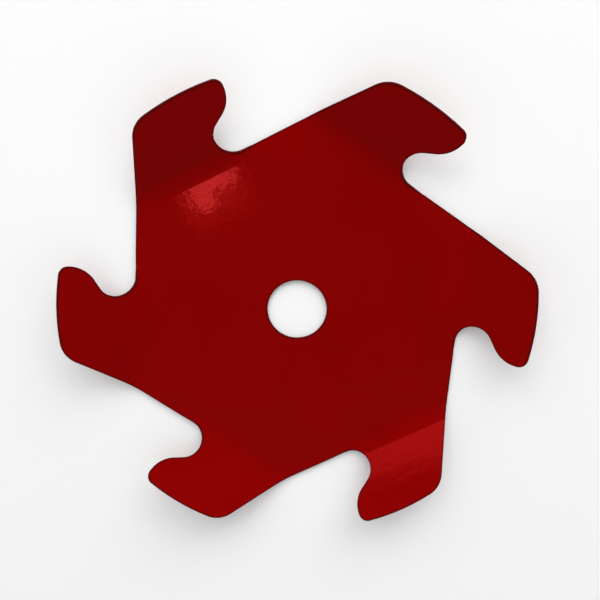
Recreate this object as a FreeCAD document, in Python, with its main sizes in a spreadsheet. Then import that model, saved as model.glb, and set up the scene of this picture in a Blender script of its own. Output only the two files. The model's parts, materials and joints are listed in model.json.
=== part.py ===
import FreeCAD, Part
import math
import os
import PartDesign
import Sketcher
from FreeCAD import Vector

# Brushcutter blade: one sheet of steel, a flat six-sided hub with six hooked arms.
#
# Every arm is turned up along its side of the hub by one wide bend. The back edge of an arm
# carries on the line of the neighbouring hub side, a round corner leads to the outer edge, and
# the tip turns into a hook above a round gullet. The gullet runs out into the next hub side.
#
# Frame: millimetres, +Z up along the bore, origin at the bore's centre on the hub's underside.
# The first arm points along +Y, and the others follow by equal turns about Z.

doc = FreeCAD.newDocument("brushcutter_blade")

# Driving sizes
SIZES = [
    ("arm_count", 6, "arms round the hub"),
    ("sheet", 1.8, "thickness of the steel"),
    ("bore_dia", 25.4, "arbor bore"),
    ("side_dist", 69.2, "bore centre to a side of the hub"),
    ("bend_inside", 16.0, "inside radius of the bend"),
    ("bend_turn", 33.0, "angle of the bend, degrees"),
    ("corner_rad", 11.5, "outer corner at the arm's back edge"),
    ("arm_reach", 31.5, "hub side to the outer edge, in the flat sheet"),
    ("outer_lead", 2.5, "centre of the outer edge, back from the bore"),
    ("tip_rad", 3.8, "cutting tip"),
    ("nose_rad", 11.8, "round of the hook below the tip"),
    ("hook_flat", 4.6, "straight part of the hook"),
    ("hook_turn", 32.0, "hook's straight part against the hub side, degrees"),
    ("gullet_rad", 7.9, "round gullet"),
    ("gullet_side", 9.1, "gullet centre, sideways from the arm's axis"),
    ("lip_run", 8.0, "length in which the bend dies out beside the gullet"),
    ("lip_first", 0.84, "share of the bend left a quarter of the way along it"),
    ("lip_middle", 0.5, "share left half way"),
    ("lip_last", 0.16, "share left three quarters of the way"),
]

sheet = doc.addObject("Spreadsheet::Sheet", "Sizes")
sheet.Label = "Sizes"
for row, (name, value, note) in enumerate(SIZES, start=1):
    sheet.set("A%d" % row, name)
    sheet.set("B%d" % row, str(value))
    sheet.setAlias("B%d" % row, name)
    sheet.set("C%d" % row, note)

# Sizes that follow from the driving ones, kept in the same sheet
DERIVED = [
    ("mid_rad", "=bend_inside + sheet / 2", "radius of the bend's middle layer"),
    ("outside_rad", "=bend_inside + sheet", "outside radius of the bend"),
    ("outer_rad", "=side_dist + arm_reach", "radius of the outer edge, in the flat sheet"),
    ("half_zone", "=mid_rad * bend_turn * pi / 360", "half the sheet length in the bend"),
    ("zone_start", "=side_dist - half_zone", "bore centre to the start of the bend"),
    ("zone_end", "=side_dist + half_zone", "the same to its end, in the flat sheet"),
    ("back_turn", "=360 / arm_count", "back edge against the hub side, degrees"),
    ("half_side", "=side_dist * tan(180 deg / arm_count)", "half a side of the hub"),
    ("back_start", "=half_side + half_zone / tan(360 deg / arm_count)", "back edge, start of bend"),
    ("back_run", "=2 * half_zone / tan(360 deg / arm_count)", "sideways run of the back edge in the bend"),
    ("flap_out", "=zone_start + outside_rad * sin(bend_turn * 1 deg)", "underside, end of bend"),
    ("flap_up", "=outside_rad * (1 - cos(bend_turn * 1 deg))", "height of the same"),
    ("bow", "=half_zone - mid_rad * sin(bend_turn * 0.5 deg)", "arc less its chord, half the bend"),
]
for row, (name, formula, note) in enumerate(DERIVED, start=len(SIZES) + 2):
    sheet.set("A%d" % row, name)
    sheet.set("B%d" % row, formula)
    sheet.setAlias("B%d" % row, name)
    sheet.set("C%d" % row, note)
doc.recompute()


def size(name):
    return float(getattr(sheet, name))


blade = doc.addObject("PartDesign::Body", "blade")
blade.Label = "blade"


def origin_part(role):
    for item in blade.Origin.OriginFeatures:
        if item.Role == role:
            return item
    raise RuntimeError("no origin feature " + role)


def new_sketch(name, role, offset=None):
    """A sketch on one of the body's planes; offset names the size that shifts it."""
    sketch = blade.newObject("Sketcher::SketchObject", name)
    sketch.AttachmentSupport = [(origin_part(role), "")]
    sketch.MapMode = "FlatFace"
    if offset:
        sketch.setExpression("AttachmentOffset.Base.z", offset)
    return sketch


def bind(sketch, kind, args, name, formula):
    """One named dimension of a sketch, tied to the sheet."""
    value = FreeCAD.Units.Quantity(sheet.evalExpression(formula)).Value
    if kind == "Angle":
        value = math.radians(value)
    index = sketch.addConstraint(Sketcher.Constraint(kind, *args, value))
    sketch.renameConstraint(index, name)
    sketch.setExpression("Constraints." + name, formula)
    return index


def join(sketch, first, first_end, second, second_end, smooth=False):
    kind = "Tangent" if smooth else "Coincident"
    sketch.addConstraint(Sketcher.Constraint(kind, first, first_end, second, second_end))


def line(sketch, start, end):
    return sketch.addGeometry(Part.LineSegment(Vector(*start, 0), Vector(*end, 0)), False)


def arc(sketch, centre, rad, start, end):
    """Arc run counter-clockwise from start to end."""
    circle = Part.Circle(Vector(*centre, 0), Vector(0, 0, 1), rad)
    first = math.atan2(start[1] - centre[1], start[0] - centre[0])
    last = math.atan2(end[1] - centre[1], end[0] - centre[0])
    if last < first:
        last += 2 * math.pi
    return sketch.addGeometry(Part.ArcOfCircle(circle, first, last), False)


# The flat sheet's outline, worked out in the arm's own axes: x along the hub side, y outward
side_dist = size("side_dist")
outer_rad = size("outer_rad")
corner_rad = size("corner_rad")
tip_rad = size("tip_rad")
nose_rad = size("nose_rad")
gullet_rad = size("gullet_rad")
gullet_side = size("gullet_side")
zone_start = size("zone_start")
zone_end = size("zone_end")
half_zone = size("half_zone")
turn = math.radians(size("back_turn"))
hook = math.radians(size("hook_turn"))
along_back = Vector(math.cos(turn), math.sin(turn), 0)
off_back = Vector(-math.sin(turn), math.cos(turn), 0)
outer_mid = Vector(-size("outer_lead"), 0, 0)

# corner arc, against the back edge's line and the outer edge
corner_off = side_dist - corner_rad - outer_mid.dot(off_back)
corner_run = math.sqrt((outer_rad - corner_rad) ** 2 - corner_off ** 2)
corner_mid = outer_mid + off_back * corner_off + along_back * corner_run
back_end = corner_mid + off_back * corner_rad
outer_start = outer_mid + (corner_mid - outer_mid).normalize() * outer_rad

# gullet, hook and nose, followed back from the hub side
gullet_mid = Vector(gullet_side, side_dist + gullet_rad, 0)
hook_dir = Vector(math.cos(hook), math.sin(hook), 0)
hook_off = Vector(-math.sin(hook), math.cos(hook), 0)
hook_foot = gullet_mid + hook_off * gullet_rad
hook_head = hook_foot + hook_dir * size("hook_flat")
nose_mid = hook_head + hook_off * nose_rad

# tip arc, inside both the nose and the outer edge
reach = nose_mid - outer_mid
dist = reach.Length
near = outer_rad - tip_rad
far = nose_rad - tip_rad
lengthwise = (near ** 2 - far ** 2 + dist ** 2) / (2 * dist)
sideways = math.sqrt(near ** 2 - lengthwise ** 2)
unit = Vector(reach).normalize()
tip_mid = outer_mid + unit * lengthwise + Vector(unit.y, -unit.x, 0) * sideways
outer_end = outer_mid + (tip_mid - outer_mid).normalize() * outer_rad
tip_end = nose_mid + (tip_mid - nose_mid).normalize() * nose_rad

# Hub: one sector of the flat sheet from the bore's axis to the start of the bend, with the
# narrow strip beside the gullet that stays flat out to the hub side
half_side = size("half_side")
back_start = size("back_start")
lip_end = gullet_side + size("lip_run")
step_back = Vector(-back_start, zone_start, 0)
rot = FreeCAD.Rotation(Vector(0, 0, 1), -size("back_turn"))
step_next = rot.multVec(step_back)
sector = new_sketch("hub_sector", "XY_Plane")
corners = [
    (0, 0),
    (step_back.x, step_back.y),
    (lip_end, zone_start),
    (lip_end, side_dist),
    (step_next.x, step_next.y),
]
edges = []
for index, corner in enumerate(corners):
    edges.append(line(sector, corner, corners[(index + 1) % len(corners)]))
for index in range(len(edges)):
    join(sector, edges[index], 2, edges[(index + 1) % len(edges)], 1)
join(sector, edges[0], 1, -1, 1)
sector.addConstraint(Sketcher.Constraint("Horizontal", edges[1]))
sector.addConstraint(Sketcher.Constraint("Vertical", edges[2]))
sector.addConstraint(Sketcher.Constraint("Horizontal", edges[3]))
bind(sector, "DistanceX", (edges[0], 2, edges[0], 1), "back_start", "Sizes.back_start")
bind(sector, "DistanceY", (edges[0], 1, edges[0], 2), "zone_start", "Sizes.zone_start")
bind(sector, "DistanceX", (edges[0], 1, edges[2], 1), "lip_end", "Sizes.gullet_side + Sizes.lip_run")
bind(sector, "DistanceY", (edges[0], 1, edges[2], 2), "side_dist", "Sizes.side_dist")
bind(sector, "Angle", (edges[4], 2, edges[0], 1), "sector_turn", "Sizes.back_turn * 1 deg")
doc.recompute()

hub = blade.newObject("PartDesign::Pad", "hub")
hub.Profile = sector
hub.setExpression("Length", "Sizes.sheet")
doc.recompute()

# Bend: a flat strip turned about the bend's axis, which lies above the sheet
thick = size("sheet")


def strip_sketch(name, left, right, low, high):
    """A rectangle across the start of the bend, with the bend's axis drawn above it."""
    sketch = new_sketch(name, "XZ_Plane", "-Sizes.zone_start")
    x_left, x_right, z_low, z_high = [sheet.evalExpression(f) for f in (left, right, low, high)]
    box = [(x_left, z_low), (x_right, z_low), (x_right, z_high), (x_left, z_high)]
    sides = []
    for index, corner in enumerate(box):
        sides.append(line(sketch, corner, box[(index + 1) % 4]))
    for index in range(4):
        join(sketch, sides[index], 2, sides[(index + 1) % 4], 1)
    for index, kind in enumerate(("Horizontal", "Vertical", "Horizontal", "Vertical")):
        sketch.addConstraint(Sketcher.Constraint(kind, sides[index]))
    bind(sketch, "DistanceX", (-1, 1, sides[0], 1), "left", left)
    bind(sketch, "DistanceX", (-1, 1, sides[0], 2), "right", right)
    bind(sketch, "DistanceY", (-1, 1, sides[0], 1), "low", low)
    bind(sketch, "DistanceY", (-1, 1, sides[2], 1), "high", high)
    up = size("outside_rad")
    hinge = sketch.addGeometry(Part.LineSegment(Vector(0, up, 0), Vector(10, up, 0)), True)
    sketch.addConstraint(Sketcher.Constraint("Horizontal", hinge))
    sketch.addConstraint(Sketcher.Constraint("PointOnObject", hinge, 1, -2))
    bind(sketch, "DistanceX", (hinge, 1, hinge, 2), "hinge_len", "Sizes.bend_inside")
    bind(sketch, "DistanceY", (-1, 1, hinge, 1), "hinge_up", "Sizes.outside_rad")
    return sketch


strip = strip_sketch("bend_strip", "-Sizes.back_start", "Sizes.gullet_side", "0", "Sizes.sheet")
doc.recompute()
bend = blade.newObject("PartDesign::Revolution", "bend")
bend.Profile = strip
bend.ReferenceAxis = (strip, ["Axis0"])
bend.setExpression("Angle", "Sizes.bend_turn * 1 deg")
doc.recompute()

# The back edge crosses the bend as a screw surface, as a straight punched edge does once bent
beyond = strip_sketch(
    "back_edge_waste",
    "-Sizes.back_start - 2 * Sizes.back_run",
    "-Sizes.back_start",
    "-Sizes.sheet / 2",
    "1.5 * Sizes.sheet",
)
doc.recompute()
back_cut = blade.newObject("PartDesign::SubtractiveHelix", "back_edge_in_bend")
back_cut.Profile = beyond
back_cut.ReferenceAxis = (beyond, ["Axis0"])
back_cut.Mode = "height-turns-angle"
back_cut.setExpression("Height", "Sizes.back_run")
back_cut.setExpression("Turns", "Sizes.bend_turn / 360")
back_cut.Angle = 0
back_cut.LeftHanded = False
doc.recompute()

# Arm: the part of the flat sheet beyond the bend, raised from a plane along the bend's end
flap = new_sketch("arm_outline", "XY_Plane")
flap.AttachmentOffset = FreeCAD.Placement(
    Vector(0, size("flap_out"), size("flap_up")),
    FreeCAD.Rotation(Vector(1, 0, 0), size("bend_turn")),
)
flap.setExpression("AttachmentOffset.Base.y", "Sizes.flap_out")
flap.setExpression("AttachmentOffset.Base.z", "Sizes.flap_up")
flap.setExpression("AttachmentOffset.Rotation.Angle", "Sizes.bend_turn * 1 deg")


def on_flap(point):
    return (point.x, point.y - zone_end)


foot_left = (-half_side + half_zone / math.tan(turn), 0)
foot_right = (gullet_side - math.sqrt(gullet_rad ** 2 - (gullet_rad - half_zone) ** 2), 0)
back = line(flap, foot_left, on_flap(back_end))
corner = arc(flap, on_flap(corner_mid), corner_rad, on_flap(outer_start), on_flap(back_end))
outer = arc(flap, on_flap(outer_mid), outer_rad, on_flap(outer_end), on_flap(outer_start))
tip = arc(flap, on_flap(tip_mid), tip_rad, on_flap(tip_end), on_flap(outer_end))
nose = arc(flap, on_flap(nose_mid), nose_rad, on_flap(hook_head), on_flap(tip_end))
face = line(flap, on_flap(hook_head), on_flap(hook_foot))
gullet = arc(flap, on_flap(gullet_mid), gullet_rad, on_flap(hook_foot), foot_right)
foot = line(flap, foot_right, foot_left)
bore_mark = flap.addGeometry(Part.Point(Vector(0, -zone_end, 0)), True)
join(flap, foot, 2, back, 1)
join(flap, back, 2, corner, 2, smooth=True)
join(flap, corner, 1, outer, 2, smooth=True)
join(flap, outer, 1, tip, 2, smooth=True)
join(flap, tip, 1, nose, 2, smooth=True)
join(flap, nose, 1, face, 1, smooth=True)
join(flap, face, 2, gullet, 1, smooth=True)
join(flap, gullet, 2, foot, 1)
flap.addConstraint(Sketcher.Constraint("PointOnObject", foot, 1, -1))
flap.addConstraint(Sketcher.Constraint("PointOnObject", foot, 2, -1))
flap.addConstraint(Sketcher.Constraint("PointOnObject", bore_mark, 1, -2))
bind(flap, "DistanceY", (bore_mark, 1, -1, 1), "zone_end", "Sizes.zone_end")
bind(flap, "Angle", (-1, 1, back, 1), "back_turn", "Sizes.back_turn * 1 deg")
bind(flap, "Distance", (bore_mark, 1, back), "side_dist", "Sizes.side_dist")
bind(flap, "Radius", (corner,), "corner_rad", "Sizes.corner_rad")
bind(flap, "Radius", (outer,), "outer_rad", "Sizes.outer_rad")
bind(flap, "Radius", (tip,), "tip_rad", "Sizes.tip_rad")
bind(flap, "Radius", (nose,), "nose_rad", "Sizes.nose_rad")
bind(flap, "Radius", (gullet,), "gullet_rad", "Sizes.gullet_rad")
bind(flap, "DistanceX", (outer, 3, bore_mark, 1), "outer_lead", "Sizes.outer_lead")
bind(flap, "DistanceY", (outer, 3, -1, 1), "outer_level", "Sizes.zone_end")
bind(flap, "DistanceX", (bore_mark, 1, gullet, 3), "gullet_side", "Sizes.gullet_side")
bind(flap, "DistanceY", (-1, 1, gullet, 3), "gullet_up", "Sizes.gullet_rad - Sizes.half_zone")
bind(flap, "Distance", (face, 1, face, 2), "hook_flat", "Sizes.hook_flat")
bind(flap, "Angle", (-1, 1, face, 2), "hook_turn", "Sizes.hook_turn * 1 deg")
doc.recompute()
arm = blade.newObject("PartDesign::Pad", "arm")
arm.Profile = flap
arm.setExpression("Length", "Sizes.sheet")
doc.recompute()

# Gullet's foot: the same round, cut square to the arm through the outer half of the bend
round_hole = new_sketch("gullet_round", "XY_Plane")
round_hole.AttachmentOffset = flap.AttachmentOffset
round_hole.setExpression("AttachmentOffset.Base.y", "Sizes.flap_out")
round_hole.setExpression("AttachmentOffset.Base.z", "Sizes.flap_up")
round_hole.setExpression("AttachmentOffset.Rotation.Angle", "Sizes.bend_turn * 1 deg")
ring_mid = Vector(gullet_side, gullet_rad - half_zone, 0)
ring = round_hole.addGeometry(Part.Circle(ring_mid, Vector(0, 0, 1), gullet_rad), False)
bind(round_hole, "Radius", (ring,), "gullet_rad", "Sizes.gullet_rad")
bind(round_hole, "DistanceX", (-1, 1, ring, 3), "gullet_side", "Sizes.gullet_side")
bind(round_hole, "DistanceY", (-1, 1, ring, 3), "gullet_up", "Sizes.gullet_rad - Sizes.half_zone")
doc.recompute()
gullet_cut = blade.newObject("PartDesign::Pocket", "gullet")
gullet_cut.Profile = round_hole
gullet_cut.Midplane = True
gullet_cut.setExpression("Length", "4 * Sizes.sheet + 2 * Sizes.bow")
doc.recompute()

# Lip: beside the gullet the bend dies out into the flat strip, through five sections across
# the hub side, each a piece of the same bend on a wider radius
LIP = [
    ("lip_root", "0", "1"),
    ("lip_quarter", "0.25", "Sizes.lip_first"),
    ("lip_half", "0.5", "Sizes.lip_middle"),
    ("lip_three", "0.75", "Sizes.lip_last"),
]


def lip_section(name, place, share):
    sketch = new_sketch(name, "YZ_Plane", "Sizes.gullet_side + Sizes.lip_run * " + place)
    mid_up = "Sizes.mid_rad / (%s) + Sizes.sheet / 2" % share
    wall_turn = "Sizes.bend_turn * (%s) * 1 deg" % share
    wall_off = "Sizes.mid_rad / (%s) * sin(Sizes.bend_turn * (%s) * 0.5 deg) + Sizes.bow * (%s)"
    wall_off = wall_off % (share, share, share)
    up = FreeCAD.Units.Quantity(sheet.evalExpression(mid_up)).Value
    tilt = math.radians(FreeCAD.Units.Quantity(sheet.evalExpression(wall_turn)).Value)
    off = FreeCAD.Units.Quantity(sheet.evalExpression(wall_off)).Value
    centre = (zone_start, up)
    ends = []
    for rad in (up, up - thick):
        swing = tilt - math.asin(off / rad)
        ends.append((zone_start + rad * math.sin(swing), up - rad * math.cos(swing)))
    under = arc(sketch, centre, up, (zone_start, 0), ends[0])
    over = arc(sketch, centre, up - thick, (zone_start, thick), ends[1])
    wall = line(sketch, ends[0], ends[1])
    root = line(sketch, (zone_start, thick), (zone_start, 0))
    join(sketch, root, 2, under, 1)
    join(sketch, under, 2, wall, 1)
    join(sketch, wall, 2, over, 2)
    join(sketch, over, 1, root, 1)
    join(sketch, under, 3, over, 3)
    sketch.addConstraint(Sketcher.Constraint("Vertical", root))
    sketch.addConstraint(Sketcher.Constraint("PointOnObject", root, 2, -1))
    bind(sketch, "DistanceX", (-1, 1, root, 2), "zone_start", "Sizes.zone_start")
    bind(sketch, "DistanceY", (root, 2, root, 1), "sheet", "Sizes.sheet")
    bind(sketch, "DistanceX", (-1, 1, under, 3), "centre_out", "Sizes.zone_start")
    bind(sketch, "DistanceY", (-1, 1, under, 3), "centre_up", mid_up)
    bind(sketch, "Angle", (-1, 1, wall, 1), "wall_turn", "90 deg + " + wall_turn)
    bind(sketch, "Distance", (under, 3, wall), "wall_off", wall_off)
    return sketch


sections = [lip_section(*entry) for entry in LIP]
last = new_sketch("lip_end", "YZ_Plane", "Sizes.gullet_side + Sizes.lip_run")
box = [(zone_start, 0), (side_dist, 0), (side_dist, thick), (zone_start, thick)]
sides = []
for index, corner in enumerate(box):
    sides.append(line(last, corner, box[(index + 1) % 4]))
for index in range(4):
    join(last, sides[index], 2, sides[(index + 1) % 4], 1)
for index, kind in enumerate(("Horizontal", "Vertical", "Horizontal", "Vertical")):
    last.addConstraint(Sketcher.Constraint(kind, sides[index]))
last.addConstraint(Sketcher.Constraint("PointOnObject", sides[0], 1, -1))
bind(last, "DistanceX", (-1, 1, sides[0], 1), "zone_start", "Sizes.zone_start")
bind(last, "DistanceX", (-1, 1, sides[0], 2), "side_dist", "Sizes.side_dist")
bind(last, "DistanceY", (sides[1], 1, sides[1], 2), "sheet", "Sizes.sheet")
doc.recompute()
lip = blade.newObject("PartDesign::AdditiveLoft", "lip")
lip.Profile = sections[0]
lip.Sections = sections[1:] + [last]
doc.recompute()

# All arms: the finished sector repeated about the bore's axis
arms = blade.newObject("PartDesign::PolarPattern", "arms")
arms.TransformMode = "Whole shape"
arms.Axis = (origin_part("Z_Axis"), [""])
arms.Angle = 360
arms.setExpression("Occurrences", "Sizes.arm_count")
blade.Tip = arms
doc.recompute()

# Arbor bore
bore_ring = new_sketch("bore_ring", "XY_Plane")
ring = bore_ring.addGeometry(Part.Circle(Vector(), Vector(0, 0, 1), size("bore_dia") / 2), False)
join(bore_ring, ring, 3, -1, 1)
bind(bore_ring, "Diameter", (ring,), "bore_dia", "Sizes.bore_dia")
doc.recompute()
bore = blade.newObject("PartDesign::Pocket", "bore")
bore.Profile = bore_ring
bore.Midplane = True
bore.setExpression("Length", "3 * Sizes.sheet")
doc.recompute()
blade.Tip = bore
blade.Placement = FreeCAD.Placement(Vector(0, 0, 0), FreeCAD.Rotation())
doc.recompute()

# Every feature must have come out whole, and each cut must have removed its own metal
for item in doc.Objects:
    if "Invalid" in item.State or "Error" in item.State:
        raise RuntimeError("%s failed: %s" % (item.Name, item.State))
for item in blade.Group:
    if item.Shape.isNull() or not item.Shape.isValid():
        raise RuntimeError("%s has no sound shape" % item.Name)
for before, after in ((bend, back_cut), (arm, gullet_cut), (arms, bore)):
    if after.Shape.Volume > before.Shape.Volume - 1.0:
        raise RuntimeError("%s cuts nothing" % after.Name)
if len(blade.Shape.Solids) != 1:
    raise RuntimeError("the blade is not one solid")

os.makedirs("parts", exist_ok=True)
blade.Shape.exportStep("parts/blade.step")
box = blade.Shape.BoundBox
print("blade: volume %.1f mm3, %.2f x %.2f x %.2f mm" % (
    blade.Shape.Volume, box.XLength, box.YLength, box.ZLength))
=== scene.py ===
# %% [markdown]
# # A painted brushcutter blade
# A brushcutter blade is one piece of spring steel: a flat hub that is clamped on the
# gearbox, and six hooked arms that turn up at their ends. The shape comes from the CAD
# model. Here it gets soft painted edges, its red lacquer, a floor, lamps and a camera.

# %% Load the CAD frame
import json
from math import cos, pi, radians, sin, tan

import bpy
from mathutils import Matrix, Vector

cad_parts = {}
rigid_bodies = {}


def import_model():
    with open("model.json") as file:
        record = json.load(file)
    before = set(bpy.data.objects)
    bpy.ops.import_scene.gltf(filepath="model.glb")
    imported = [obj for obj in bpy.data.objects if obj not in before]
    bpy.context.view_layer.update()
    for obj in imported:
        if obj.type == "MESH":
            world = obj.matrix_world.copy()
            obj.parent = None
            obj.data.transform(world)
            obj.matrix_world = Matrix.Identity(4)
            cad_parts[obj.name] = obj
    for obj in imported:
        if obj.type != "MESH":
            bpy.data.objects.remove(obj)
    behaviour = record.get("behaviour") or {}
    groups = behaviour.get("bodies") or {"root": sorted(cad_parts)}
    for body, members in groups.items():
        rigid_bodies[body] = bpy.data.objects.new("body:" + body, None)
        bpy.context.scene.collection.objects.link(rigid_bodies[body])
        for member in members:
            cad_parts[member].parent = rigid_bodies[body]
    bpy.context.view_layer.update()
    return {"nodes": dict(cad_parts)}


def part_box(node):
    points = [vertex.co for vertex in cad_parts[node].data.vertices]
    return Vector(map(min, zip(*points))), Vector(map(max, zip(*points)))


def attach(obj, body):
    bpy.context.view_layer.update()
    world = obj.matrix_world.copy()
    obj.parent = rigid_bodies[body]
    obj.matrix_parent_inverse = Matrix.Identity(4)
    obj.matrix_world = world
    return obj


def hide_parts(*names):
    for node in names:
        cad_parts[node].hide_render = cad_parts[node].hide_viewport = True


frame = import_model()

for name in frame["nodes"]:
    low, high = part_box(name)
    print("CAD node", name, "from", [round(c, 5) for c in low], "to", [round(c, 5) for c in high])

# %% [markdown]
# ## The sheet
# A laser or a press cuts the blank, and a second press turns up the arms, so the real
# blade has square edges which the paint then rounds. The CAD node is loose triangles.
# A copy of it is merged into one closed shell and its flat places are made whole faces,
# so that a bevel can run round every edge without a break.

# %% Copy the CAD sheet and merge it
SAME_PLACE = 0.000002     # corners nearer than this, in metres, become one


def only(piece):
    """Leaves this one object selected and active."""
    bpy.ops.object.select_all(action="DESELECT")
    piece.select_set(True)
    bpy.context.view_layer.objects.active = piece


only(frame["nodes"]["blade"])
bpy.ops.object.duplicate()
sheet = bpy.context.view_layer.objects.active
bpy.ops.object.parent_clear(type="CLEAR_KEEP_TRANSFORM")
sheet.name = "painted_blade"
sheet.data.name = "painted_blade"
for key in list(sheet.keys()):
    del sheet[key]

only(sheet)
bpy.ops.object.mode_set(mode="EDIT")
bpy.ops.mesh.select_all(action="SELECT")
bpy.ops.mesh.remove_doubles(threshold=SAME_PLACE)
bpy.ops.object.mode_set(mode="OBJECT")
bpy.ops.mesh.customdata_custom_splitnormals_clear()
print("merged shell:", len(sheet.data.vertices), "corners,", len(sheet.data.polygons), "triangles")

# %% Make the flat places whole again
STILL_FLAT = radians(0.1)     # faces that turn less than this become one

bpy.ops.object.mode_set(mode="EDIT")
bpy.ops.mesh.select_all(action="SELECT")
bpy.ops.mesh.dissolve_limited(angle_limit=STILL_FLAT, use_dissolve_boundaries=False)
bpy.ops.object.mode_set(mode="OBJECT")
print("whole faces:", len(sheet.data.polygons))

# %% [markdown]
# ## Two finishes on one sheet
# The cut edge gets a duller lacquer, and its darker colour is painted shade, the dark line
# of shade round the outline. The cut edge and the two faces are told apart by the sharp
# edges: those become seams, and the top and the underside grow from their widest flat
# face as far as the seams. What is left is the cut edge.

# %% Tell the cut edge from the two faces
SHARP = radians(40)     # an edge that turns more than this is an arris
LEVEL = 0.999           # a face whose normal stands this straight lies flat


def face_like(up):
    """The widest flat face that points up (1) or down (-1)."""
    return max(sheet.data.polygons, key=lambda f: f.area if f.normal.z * up > LEVEL else 0.0)


bpy.ops.object.mode_set(mode="EDIT")
bpy.ops.mesh.select_mode(type="EDGE")
bpy.ops.mesh.select_all(action="DESELECT")
bpy.ops.mesh.edges_select_sharp(sharpness=SHARP)
bpy.ops.mesh.mark_seam(clear=False)
bpy.ops.mesh.select_mode(type="FACE")
bpy.ops.mesh.select_all(action="DESELECT")
bpy.ops.object.mode_set(mode="OBJECT")
face_like(1).select = True
face_like(-1).select = True
bpy.ops.object.mode_set(mode="EDIT")
bpy.ops.mesh.select_linked(delimit={"SEAM"})
bpy.ops.mesh.select_all(action="INVERT")
bpy.ops.object.mode_set(mode="OBJECT")

lacquer = bpy.data.materials.new("red_lacquer")
# The second lacquer, on the cut edge, is dark with painted shade.
cut_edge_shade_lacquer = bpy.data.materials.new("red_lacquer_painted_shade_on_cut_edge")
sheet.data.materials.clear()
sheet.data.materials.append(lacquer)
sheet.data.materials.append(cut_edge_shade_lacquer)
for face in sheet.data.polygons:
    face.material_index = 1 if face.select else 0
print("cut-edge faces:", sum(f.material_index for f in sheet.data.polygons))

# %% [markdown]
# ## Painted edges
# Lacquer rounds a square edge by a few tenths of a millimetre, and the round is what
# catches the light. It could be left to the material, but a Bevel modifier makes it part
# of the mesh. Its loop slide stays off, because with it the strips folded over themselves
# where the lip of an arm runs into the gullet.

# %% Round the edges as paint does
ARRIS = 0.0003     # how far the paint rounds each edge, in metres

only(sheet)
edges = sheet.modifiers.new("paint on the edges", "BEVEL")
edges.width = ARRIS
edges.segments = 3
edges.limit_method = "ANGLE"
edges.angle_limit = SHARP
edges.use_clamp_overlap = False
edges.loop_slide = False
edges.harden_normals = True
# The rounds take the cut edge's dark lacquer, whose colour is painted shade.
edges.material = 1
bpy.ops.object.shade_smooth()
bpy.ops.object.modifier_apply(modifier=edges.name)
weight = sheet.modifiers.new("flat faces stay flat", "WEIGHTED_NORMAL")
weight.keep_sharp = False
weight.weight = 100
bpy.ops.object.modifier_apply(modifier=weight.name)
print("rounded sheet:", len(sheet.data.vertices), "corners,", len(sheet.data.polygons), "faces")

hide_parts("blade")
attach(sheet, "root")

# %% [markdown]
# ## The lacquer
# The colour is a deep red baked over bright steel, so its gloss is tinted red too. The
# spray leaves a faint orange peel, each edge is darkened by painted shade, and a touch
# of dust dulls it. The effects are node groups, so that each can be named.

# %% Helpers for the node groups
def group(name, inputs, outputs):
    """A shader node group with its named inputs and outputs."""
    tree = bpy.data.node_groups.new(name, "ShaderNodeTree")
    for label, kind, value in inputs:
        socket = tree.interface.new_socket(label, in_out="INPUT", socket_type=kind)
        if value is not None:
            socket.default_value = value
    for label, kind in outputs:
        tree.interface.new_socket(label, in_out="OUTPUT", socket_type=kind)
    start = tree.nodes.new("NodeGroupInput")
    end = tree.nodes.new("NodeGroupOutput")
    return tree, start, end


def add(tree, kind, **settings):
    """A node with these settings."""
    node = tree.nodes.new(kind)
    for key, value in settings.items():
        setattr(node, key, value)
    return node


def spread(tree, value, low, high, new_low, new_high):
    """Maps a value from one range to another."""
    node = add(tree, "ShaderNodeMapRange")
    node.inputs["From Min"].default_value = low
    node.inputs["From Max"].default_value = high
    node.inputs["To Min"].default_value = new_low
    node.inputs["To Max"].default_value = new_high
    tree.links.new(value, node.inputs["Value"])
    return node.outputs["Result"]


def noise(tree, place, scale, detail=2.0, rough=0.5):
    """Noise with this many waves to the metre."""
    node = add(tree, "ShaderNodeTexNoise")
    node.inputs["Scale"].default_value = scale
    node.inputs["Detail"].default_value = detail
    node.inputs["Roughness"].default_value = rough
    tree.links.new(place, node.inputs["Vector"])
    return node.outputs["Fac"]


def patches(tree, place, scale, detail, least, most):
    """Noise whose middle part, 0.3 to 0.7, is stretched from the least to the most."""
    return spread(tree, noise(tree, place, scale, detail), 0.3, 0.7, least, most)


def calc(tree, kind, a, b):
    """One sum of two values, each a socket or a number."""
    node = add(tree, "ShaderNodeMath", operation=kind)
    for slot, value in zip(node.inputs, (a, b)):
        if isinstance(value, (int, float)):
            slot.default_value = value
        else:
            tree.links.new(value, slot)
    return node.outputs[0]


# %% Orange peel: the fine waves of a sprayed coat
PEEL = 0.0012         # width of one dimple of the orange peel, in metres
SMALL_WAVES = 0.25    # height of the dimples beside waves three times as wide

peel, start, end = group(
    "orange peel",
    [("Place", "NodeSocketVector", None)],
    [("Height", "NodeSocketFloat")],
)
fine = noise(peel, start.outputs["Place"], 1 / PEEL, 1.0)
wide = noise(peel, start.outputs["Place"], 1 / (3 * PEEL), 1.0)
both = calc(peel, "ADD", calc(peel, "MULTIPLY", fine, SMALL_WAVES), wide)
peel.links.new(both, end.inputs["Height"])

# %% Painted edge shade: a dark line of painted shade along every edge
REACH = 0.0012        # how far in from an edge the painted shade reaches, in metres
UNTURNED = 0.9998     # cosine between the true and the softened normal, off the edge
TURNED = 0.99         # and at the edge
GAPS = 900            # breaks in the line of painted shade, waves to the metre

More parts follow.
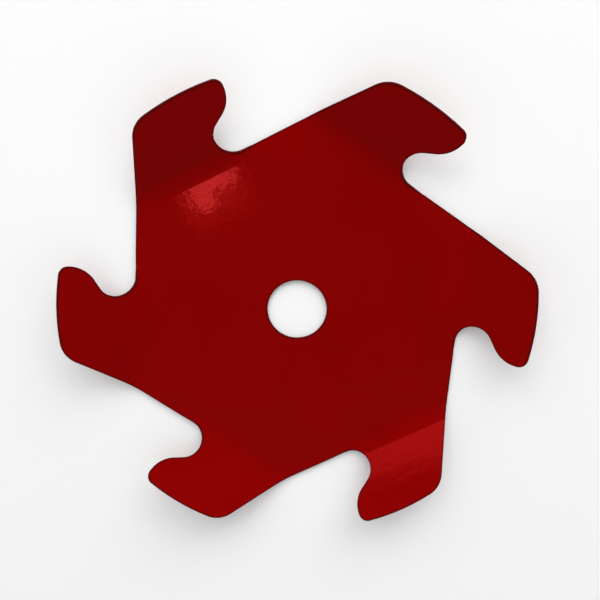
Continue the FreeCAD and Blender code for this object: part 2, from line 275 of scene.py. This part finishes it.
edge_shade_group, start, end = group(
    "painted edge shade",
    [("Place", "NodeSocketVector", None), ("Reach", "NodeSocketFloat", REACH)],
    [("Mask", "NodeSocketFloat")],
)
softened = add(edge_shade_group, "ShaderNodeBevel", samples=6)
edge_shade_group.links.new(start.outputs["Reach"], softened.inputs["Radius"])
surface = add(edge_shade_group, "ShaderNodeNewGeometry")
turned = add(edge_shade_group, "ShaderNodeVectorMath", operation="DOT_PRODUCT")
edge_shade_group.links.new(softened.outputs["Normal"], turned.inputs[0])
edge_shade_group.links.new(surface.outputs["Normal"], turned.inputs[1])
edge = spread(edge_shade_group, turned.outputs["Value"], UNTURNED, TURNED, 0.0, 1.0)
broken = spread(edge_shade_group, noise(edge_shade_group, start.outputs["Place"], GAPS, 3.0), 0.35, 0.65, 0.75, 1.0)
edge_shade_group.links.new(calc(edge_shade_group, "MULTIPLY", edge, broken), end.inputs["Mask"])

# %% Uneven colour: thicker and thinner passes of the spray gun
CLOUDS = 28           # passes of the gun, waves to the metre
GRAIN = 1400          # grain of the coat, waves to the metre
CLOUD_SHARE = 0.7     # how much of the unevenness the passes make
GRAIN_SHARE = 0.3     # and the grain

uneven, start, end = group(
    "uneven colour",
    [
        ("Place", "NodeSocketVector", None),
        ("Thin Coat", "NodeSocketColor", (0.25, 0.0, 0.0, 1)),
        ("Thick Coat", "NodeSocketColor", (0.2, 0.0, 0.0, 1)),
    ],
    [("Color", "NodeSocketColor")],
)
clouds = patches(uneven, start.outputs["Place"], CLOUDS, 3.0, 0.0, 1.0)
grain = patches(uneven, start.outputs["Place"], GRAIN, 2.0, 0.0, 1.0)
passes = calc(uneven, "MULTIPLY", clouds, CLOUD_SHARE)
amount = calc(uneven, "ADD", passes, calc(uneven, "MULTIPLY", grain, GRAIN_SHARE))
coats = add(uneven, "ShaderNodeMix", data_type="RGBA")
uneven.links.new(amount, coats.inputs["Factor"])
uneven.links.new(start.outputs["Thin Coat"], coats.inputs["A"])
uneven.links.new(start.outputs["Thick Coat"], coats.inputs["B"])
uneven.links.new(coats.outputs["Result"], end.inputs["Color"])

# %% [markdown]
# ## Lacquer on the two faces
# Fresh lacquer mirrors a lamp almost sharply. Base Color comes from the coats, with
# painted shade darkening it along the edges. Roughness is low, with wide smudges and
# small specks of dust. The orange peel goes into a Bump node, because it is far too
# shallow to be worth a mesh.

# %% The red lacquer
EDGE_SHADE_STRENGTH = 0.9       # how fully the painted edge shade covers the coat
SMUDGES = 60              # wide dull places, waves to the metre
DUST = 3200               # specks, waves to the metre
PEEL_DEPTH = 0.00003      # depth of the orange peel, in metres

lacquer.use_nodes = True
tree = lacquer.node_tree
paint = tree.nodes["Principled BSDF"]
place = add(tree, "ShaderNodeTexCoord").outputs["Object"]

uneven_coat = add(tree, "ShaderNodeGroup", node_tree=uneven)
uneven_coat.inputs["Thin Coat"].default_value = (0.222, 0.0003, 0.0003, 1)
uneven_coat.inputs["Thick Coat"].default_value = (0.200, 0.0002, 0.0002, 1)
tree.links.new(place, uneven_coat.inputs["Place"])

edge_shade_node = add(tree, "ShaderNodeGroup", node_tree=edge_shade_group)
edge_shade_node.inputs["Reach"].default_value = REACH
tree.links.new(place, edge_shade_node.inputs["Place"])

# Painted shade: this dark red is laid along every edge, for the dark line of shade round the
# outline.
edge_shade_colour = add(tree, "ShaderNodeMix", data_type="RGBA")
edge_shade_colour.inputs["B"].default_value = (0.045, 0.002, 0.003, 1)
edge_shade_cover = calc(tree, "MULTIPLY", edge_shade_node.outputs["Mask"], EDGE_SHADE_STRENGTH)
tree.links.new(edge_shade_cover, edge_shade_colour.inputs["Factor"])
tree.links.new(uneven_coat.outputs["Color"], edge_shade_colour.inputs["A"])
tree.links.new(edge_shade_colour.outputs["Result"], paint.inputs["Base Color"])

dull = patches(tree, place, SMUDGES, 4.0, 0.035, 0.06)
specks = spread(tree, noise(tree, place, DUST, 1.0), 0.62, 0.70, 0.0, 0.22)
tree.links.new(calc(tree, "ADD", dull, specks), paint.inputs["Roughness"])

orange_peel = add(tree, "ShaderNodeGroup", node_tree=peel)
tree.links.new(place, orange_peel.inputs["Place"])
bump = add(tree, "ShaderNodeBump")
bump.inputs["Strength"].default_value = 1.0
bump.inputs["Distance"].default_value = PEEL_DEPTH
tree.links.new(orange_peel.outputs["Height"], bump.inputs["Height"])
tree.links.new(bump.outputs["Normal"], paint.inputs["Normal"])

paint.inputs["Specular Tint"].default_value = (1.0, 0.036, 0.036, 1)
paint.inputs["IOR"].default_value = 1.5
paint.inputs["Metallic"].default_value = 0.0

print("lacquer nodes:", len(tree.nodes))

# %% [markdown]
# ## Lacquer on the cut edge
# The cut is rough, so the coat on it is dull; its dark colour is painted shade, for the
# shade round the outline. It uses the same groups with values of its own: less red, a
# rougher surface and hardly any gloss.

# %% The lacquer on the cut edge
CUT_MARKS = 700           # marks of the cut, waves to the metre
CUT_DEPTH = 0.00005       # depth of the coat's waves on it, in metres

cut_edge_shade_lacquer.use_nodes = True
tree = cut_edge_shade_lacquer.node_tree
paint = tree.nodes["Principled BSDF"]
place = add(tree, "ShaderNodeTexCoord").outputs["Object"]

cut_edge_shade_coat = add(tree, "ShaderNodeGroup", node_tree=uneven)
# Painted shade: these dark coats stand in for the shade on the cut edge and its rounds.
cut_edge_shade_coat.inputs["Thin Coat"].default_value = (0.055, 0.001, 0.0015, 1)
cut_edge_shade_coat.inputs["Thick Coat"].default_value = (0.100, 0.0005, 0.001, 1)
tree.links.new(place, cut_edge_shade_coat.inputs["Place"])
tree.links.new(cut_edge_shade_coat.outputs["Color"], paint.inputs["Base Color"])
tree.links.new(patches(tree, place, CUT_MARKS, 3.0, 0.38, 0.6), paint.inputs["Roughness"])

edge_peel = add(tree, "ShaderNodeGroup", node_tree=peel)
tree.links.new(place, edge_peel.inputs["Place"])
edge_bump = add(tree, "ShaderNodeBump")
edge_bump.inputs["Strength"].default_value = 0.6
edge_bump.inputs["Distance"].default_value = CUT_DEPTH
tree.links.new(edge_peel.outputs["Height"], edge_bump.inputs["Height"])
tree.links.new(edge_bump.outputs["Normal"], paint.inputs["Normal"])

paint.inputs["Specular Tint"].default_value = (1.0, 0.12, 0.08, 1)
paint.inputs["Specular IOR Level"].default_value = 0.02

print("cut-edge lacquer nodes:", len(tree.nodes))

# %% [markdown]
# ## The bench and the room
# The blade lies with its hub flat on a wide pale bench, which takes its soft shadow. The
# room is a soft grey that is brighter round the horizon. The flat hub mirrors what is
# overhead and stays deep red, while the turned-up arms mirror the horizon.

# %% The bench
BENCH = 6.0       # side of the bench, in metres
PALE = 0.95       # how much light it gives back

bpy.ops.object.select_all(action="DESELECT")
bpy.ops.mesh.primitive_plane_add(size=BENCH, location=(0, 0, 0))
bench = bpy.context.view_layer.objects.active
bench.name = "bench"
white = bpy.data.materials.new("white_bench")
white.use_nodes = True
top = white.node_tree.nodes["Principled BSDF"]
top.inputs["Base Color"].default_value = (PALE, PALE, PALE, 1)
top.inputs["Roughness"].default_value = 0.8
top.inputs["Specular IOR Level"].default_value = 0.1
bench.data.materials.append(white)
print("bench:", BENCH, "m square")

# %% The room
LOW_SKY, HIGH_SKY = 0.06, 0.40      # heights between which the room's light falls off
LOW_LIGHT, HIGH_LIGHT = 0.87, 0.55  # its strength below and above them

world = bpy.data.worlds.new("studio")
bpy.context.scene.world = world
world.use_nodes = True
room = world.node_tree
sky = room.nodes["Background"]
direction = add(room, "ShaderNodeTexCoord").outputs["Generated"]
axes = add(room, "ShaderNodeSeparateXYZ")
room.links.new(direction, axes.inputs["Vector"])
strength = spread(room, axes.outputs["Z"], LOW_SKY, HIGH_SKY, LOW_LIGHT, HIGH_LIGHT)
room.links.new(strength, sky.inputs["Strength"])
sky.inputs["Color"].default_value = (1, 1, 1, 1)
print("room light:", LOW_LIGHT, "at the horizon,", HIGH_LIGHT, "overhead")

# %% [markdown]
# ## The lamps
# Two wide soft boxes stand behind the blade, low enough not to mirror in the flat hub.
# A small cool strip overhead, with a corner piece and a glow round it, puts the one
# bright reflection on an arm. Honeycomb grids on it keep its light off the bench. A real
# soft box fades at its rim, and a flat lamp doesn't, so each fading lamp is five lamps of
# growing size. They stand a little behind one another, because lamps in one plane
# hide each other's light.


# %% A rectangular lamp
def soft_box(name, spot, towards, width, height, glow, cone=180, colour=(1, 1, 1)):
    """A rectangular lamp at a spot that faces a point, with this brightness of its face.
    A cone under 180 degrees is a honeycomb grid in front of it."""
    spot, towards = Vector(spot), Vector(towards)
    bpy.ops.object.light_add(type="AREA", location=spot)
    lamp = bpy.context.view_layer.objects.active
    lamp.name = name
    back = (spot - towards).normalized()
    level = Vector((0, 0, 1)).cross(back) if back.z < 0.9 else Vector((1, 0, 0))
    up = back.cross(level).normalized()
    lamp.rotation_euler = Matrix((up.cross(back), up, back)).transposed().to_euler()
    lamp.data.shape = "RECTANGLE"
    lamp.data.color = colour
    lamp.data.size = width
    lamp.data.size_y = height
    half = radians(cone / 2)
    gain = tan(half) / (tan(half) - half) if cone < 180 else 1.0
    lamp.data.spread = radians(cone)
    lamp.data.energy = glow * pi * width * height / gain
    lamp.visible_camera = False
    print(name, "at", [round(c, 3) for c in spot], "with", round(lamp.data.energy, 2), "W")


# %% A lamp whose rim fades
LAYERS = 5             # lamps in one fading box
LAYER_GAP = 0.005      # each stands this share of the distance further back


def faded_box(name, spot, towards, width, height, glow, fade, cone=180):
    """Lamps of growing size, one close behind the other, which share the glow.
    fade is how much wider and higher the largest is than the smallest."""
    way = Vector(spot) - Vector(towards)
    for layer in range(LAYERS):
        share = layer / (LAYERS - 1) - 0.5
        place = Vector(towards) + way * (1 + LAYER_GAP * layer)
        wide, high = width * (1 + fade[0] * share), height * (1 + fade[1] * share)
        soft_box("%s_%d" % (name, layer + 1), place, towards, wide, high, glow / LAYERS, cone)


def from_middle(azimuth, elevation, distance):
    """A spot this far from the blade's middle, by its bearing and its height in degrees."""
    bearing, rise = radians(azimuth), radians(elevation)
    return (
        distance * cos(rise) * cos(bearing),
        distance * cos(rise) * sin(bearing),
        distance * sin(rise),
    )


# %% Two wide soft boxes behind the blade
MIDDLE = (0, 0, 0)
STAND_OFF = 2.4        # how far they stand from the blade, in metres

left_spot = from_middle(79, 38.5, STAND_OFF)
right_spot = from_middle(38, 27, STAND_OFF)
faded_box("left_box", left_spot, MIDDLE, 2.10, 1.60, 2.75, fade=(0.3, 0.14))
faded_box("right_box", right_spot, MIDDLE, 1.60, 1.32, 3.5, fade=(0.3, 0.3))

# %% The overhead strip, its corner piece and its glow
ARM_SPOT = (-0.006, 0.061, 0)       # the arm that mirrors the strip
COOL = (0.5, 1.0, 0.9)              # tints the strip's reflection
BRIGHT = 11.4                       # brightness of its face
GRID = 14                           # cone of its honeycomb, in degrees

strip_spot = (-0.150, 0.118, 1.0)
corner_spot = (-0.186, 0.086, 1.0)
glow_spot = (-0.160, 0.111, 1.02)
soft_box("overhead_strip", strip_spot, ARM_SPOT, 0.118, 0.036, BRIGHT, cone=GRID, colour=COOL)
soft_box("overhead_corner", corner_spot, ARM_SPOT, 0.046, 0.027, BRIGHT, cone=GRID, colour=COOL)
faded_box("overhead_glow", glow_spot, ARM_SPOT, 0.150, 0.140, 2.6, fade=(0.4, 0.8), cone=GRID)

# %% [markdown]
# ## The camera
# The photograph looks almost straight down from a quarter of a metre, a little towards
# one edge of the blade. Its place and lens were worked out from the blade's outline.

# %% The camera
bpy.ops.object.camera_add(location=(0.0262413, 0.0497083, 0.2397221))
camera = bpy.context.view_layer.objects.active
camera.name = "camera"
camera.rotation_euler = (radians(-12.307), radians(0.14192), radians(-25.94264))
camera.data.sensor_width = 36.0
camera.data.lens = 34.284
camera.data.clip_start = 0.01
bpy.context.scene.camera = camera

bpy.context.scene.view_settings.view_transform = "Standard"

# %% Finish
bpy.context.view_layer.update()
